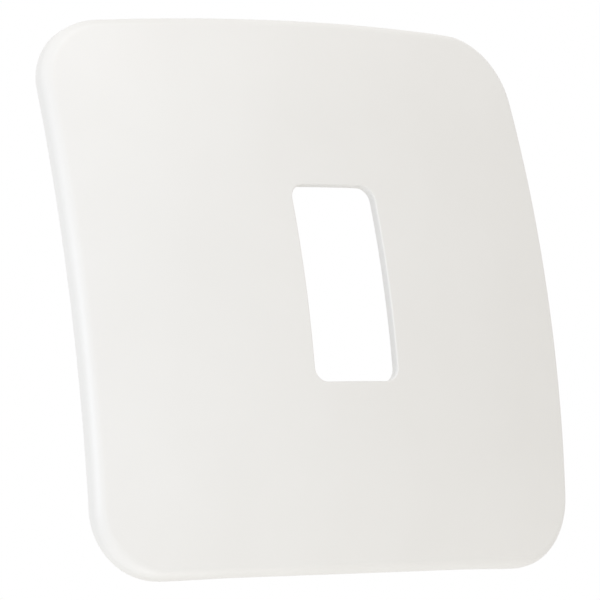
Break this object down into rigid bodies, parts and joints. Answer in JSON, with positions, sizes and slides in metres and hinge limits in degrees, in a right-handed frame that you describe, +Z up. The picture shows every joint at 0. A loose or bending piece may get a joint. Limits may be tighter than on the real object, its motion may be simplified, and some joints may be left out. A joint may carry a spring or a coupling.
{
  "type": "rocker switch wall plate",
  "caption": "Domed square clip-on wall plate with an empty slot for a rocker module, held by posts on a steel grid that screws to a flush wall box.",
  "frame": {"origin": "centre of the four fixing screws, in the plane of the wall", "axes": "+Z up, the front faces -Y, +X to the right seen from the front, and the fixing screws point along +Y into the wall"},
  "size_m": [0.1216, 0.0411, 0.12],
  "materials": {
    "cover_plastic": "satin white moulded thermoplastic",
    "plated_sheet": "zinc-plated pressed sheet",
    "screw_zinc": "bright zinc plate",
    "brass": "machined brass",
    "socket_nylon": "natural nylon",
    "retainer_nylon": "red-brown vulcanised fibre"
  },
  "bodies": {
    "grid": {"grid_plate": "plated_sheet", "earth_terminal": "brass", "socket_top_left": "socket_nylon", "socket_top_right": "socket_nylon", "socket_bottom_left": "socket_nylon", "socket_bottom_right": "socket_nylon", "retainer_top_left": "retainer_nylon", "retainer_top_right": "retainer_nylon", "retainer_bottom_left": "retainer_nylon", "retainer_bottom_right": "retainer_nylon"},
    "cover": {"cover_plate": "cover_plastic"},
    "washer_top_left": {"washer_top_left": "screw_zinc"},
    "screw_top_left": {"fixing_screw_top_left": "screw_zinc"},
    "washer_top_right": {"washer_top_right": "screw_zinc"},
    "screw_top_right": {"fixing_screw_top_right": "screw_zinc"},
    "washer_bottom_left": {"washer_bottom_left": "screw_zinc"},
    "screw_bottom_left": {"fixing_screw_bottom_left": "screw_zinc"},
    "washer_bottom_right": {"washer_bottom_right": "screw_zinc"},
    "screw_bottom_right": {"fixing_screw_bottom_right": "screw_zinc"},
    "earth_clamp": {"earth_clamp_plate": "plated_sheet"},
    "earth_screw": {"earth_screw": "brass"}
  },
  "joints": [
    {"name": "cover_pull", "type": "slide", "parent": "grid", "child": "cover", "axis": [0, -1, 0], "range_m": [0, 0.02]},
    {"name": "screw_rise_top_left", "type": "slide", "parent": "grid", "child": "washer_top_left", "axis": [0, -1, 0], "range_m": [0, 0.003]},
    {"name": "screw_turn_top_left", "type": "hinge", "parent": "washer_top_left", "child": "screw_top_left", "pos_m": [-0.023, 0, 0.04165], "axis": [0, -1, 0], "range_deg": [0, 1801]},
    {"name": "screw_rise_top_right", "type": "slide", "parent": "grid", "child": "washer_top_right", "axis": [0, -1, 0], "range_m": [0, 0.003]},
    {"name": "screw_turn_top_right", "type": "hinge", "parent": "washer_top_right", "child": "screw_top_right", "pos_m": [0.023, 0, 0.04165], "axis": [0, -1, 0], "range_deg": [0, 1801]},
    {"name": "screw_rise_bottom_left", "type": "slide", "parent": "grid", "child": "washer_bottom_left", "axis": [0, -1, 0], "range_m": [0, 0.003]},
    {"name": "screw_turn_bottom_left", "type": "hinge", "parent": "washer_bottom_left", "child": "screw_bottom_left", "pos_m": [-0.023, 0, -0.04165], "axis": [0, -1, 0], "range_deg": [0, 1801]},
    {"name": "screw_rise_bottom_right", "type": "slide", "parent": "grid", "child": "washer_bottom_right", "axis": [0, -1, 0], "range_m": [0, 0.003]},
    {"name": "screw_turn_bottom_right", "type": "hinge", "parent": "washer_bottom_right", "child": "screw_bottom_right", "pos_m": [0.023, 0, -0.04165], "axis": [0, -1, 0], "range_deg": [0, 1801]},
    {"name": "clamp_rise", "type": "slide", "parent": "grid", "child": "earth_clamp", "axis": [0, -1, 0], "range_m": [0, 0.001]},
    {"name": "clamp_turn", "type": "hinge", "parent": "earth_clamp", "child": "earth_screw", "pos_m": [-0.0375, 0, -0.014], "axis": [0, -1, 0], "range_deg": [0, 721]}
  ],
  "couplings": [
    {"joint": "screw_turn_top_left", "follows": "screw_rise_top_left", "rad_per_m": 10472},
    {"joint": "screw_turn_top_right", "follows": "screw_rise_top_right", "rad_per_m": 10472},
    {"joint": "screw_turn_bottom_left", "follows": "screw_rise_bottom_left", "rad_per_m": 10472},
    {"joint": "screw_turn_bottom_right", "follows": "screw_rise_bottom_right", "rad_per_m": 10472},
    {"joint": "clamp_turn", "follows": "clamp_rise", "rad_per_m": 12566}
  ]
}
